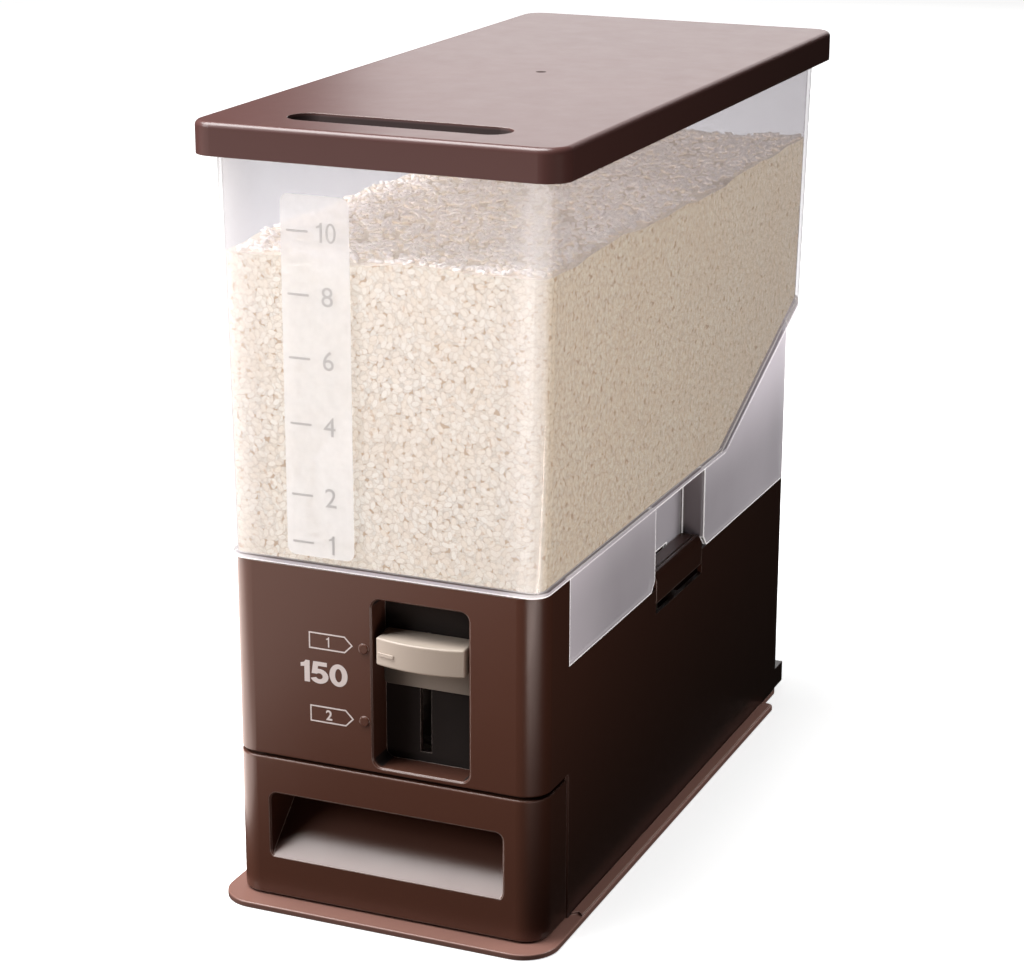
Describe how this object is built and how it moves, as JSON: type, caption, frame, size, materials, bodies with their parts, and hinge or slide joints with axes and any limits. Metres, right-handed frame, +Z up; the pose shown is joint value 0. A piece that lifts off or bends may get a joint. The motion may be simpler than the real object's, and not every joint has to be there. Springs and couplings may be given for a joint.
{
  "type": "rice dispenser with drawer",
  "caption": "Tall rice dispenser: clear hopper under a lid, on a base whose press lever turns a measuring drum that empties one measure into a pull-out drawer.",
  "frame": {"origin": "middle of the overall length and width, on the surface it stands on", "axes": "+Z up, -Y out of the drawer's front, +X to the right of someone who faces the front"},
  "size_m": [0.2014, 0.4454, 0.421],
  "materials": {
    "brown_plastic": "satin dark brown",
    "beige_plastic": "satin beige",
    "clear_plastic": "clear above the floor line, frosted below it",
    "film": "frosted strip",
    "inner_plastic": "off-white moulded",
    "gear_plastic": "natural low-friction plastic",
    "steel": "plain steel",
    "rubber": "soft matt"
  },
  "bodies": {
    "base": {"base_housing": "brown_plastic", "floor_plate": "brown_plastic", "foot_pads": "rubber", "floor_screws": "steel", "deck": "inner_plastic", "deck_screws": "steel", "rack_guide": "inner_plastic", "guide_screws": "steel", "drum_case": "inner_plastic", "drum_case_end": "inner_plastic", "case_screws": "steel", "bush_front": "gear_plastic", "bush_rear": "gear_plastic", "inlet_seal": "rubber", "latch_pins": "steel", "latch_springs": "steel"},
    "lever": {"lever_knob": "beige_plastic", "lever_rack": "gear_plastic", "lever_screws": "steel"},
    "drum": {"measuring_drum": "inner_plastic", "drum_pinion": "gear_plastic", "drum_axle": "steel", "axle_clip": "steel"},
    "drawer": {"drawer_front": "brown_plastic", "drawer_tray": "inner_plastic", "drawer_screws": "steel"},
    "hopper": {"hopper": "clear_plastic", "level_scale": "film"},
    "lid": {"lid": "brown_plastic"},
    "latch_right": {"latch_right": "brown_plastic"},
    "latch_left": {"latch_left": "brown_plastic"}
  },
  "joints": [
    {"name": "lever_press", "type": "slide", "parent": "base", "child": "lever", "axis": [0, 0, -1], "range_m": [0, 0.04]},
    {"name": "drum_turn", "type": "hinge", "parent": "base", "child": "drum", "pos_m": [0, -0.11, 0.138], "axis": [0, 1, 0], "range_deg": [0, 180]},
    {"name": "drawer_slide", "type": "slide", "parent": "base", "child": "drawer", "axis": [0, -1, 0], "range_m": [0, 0.24]},
    {"name": "hopper_lift", "type": "slide", "parent": "base", "child": "hopper", "axis": [0, 0, 1], "range_m": [0, 0.1]},
    {"name": "lid_lift", "type": "slide", "parent": "hopper", "child": "lid", "axis": [0, 0, 1], "range_m": [0, 0.06]},
    {"name": "latch_right_tilt", "type": "hinge", "parent": "base", "child": "latch_right", "pos_m": [0.082, -0.00665, 0.142], "axis": [0, 1, 0], "range_deg": [0, 8], "stiffness_Nm_per_rad": 0.3, "springref_deg": -5.73},
    {"name": "latch_left_tilt", "type": "hinge", "parent": "base", "child": "latch_left", "pos_m": [-0.082, -0.00665, 0.142], "axis": [0, -1, 0], "range_deg": [0, 8], "stiffness_Nm_per_rad": 0.3, "springref_deg": -5.73}
  ],
  "couplings": [
    {"joint": "drum_turn", "follows": "lever_press", "rad_per_m": 78.431}
  ]
}
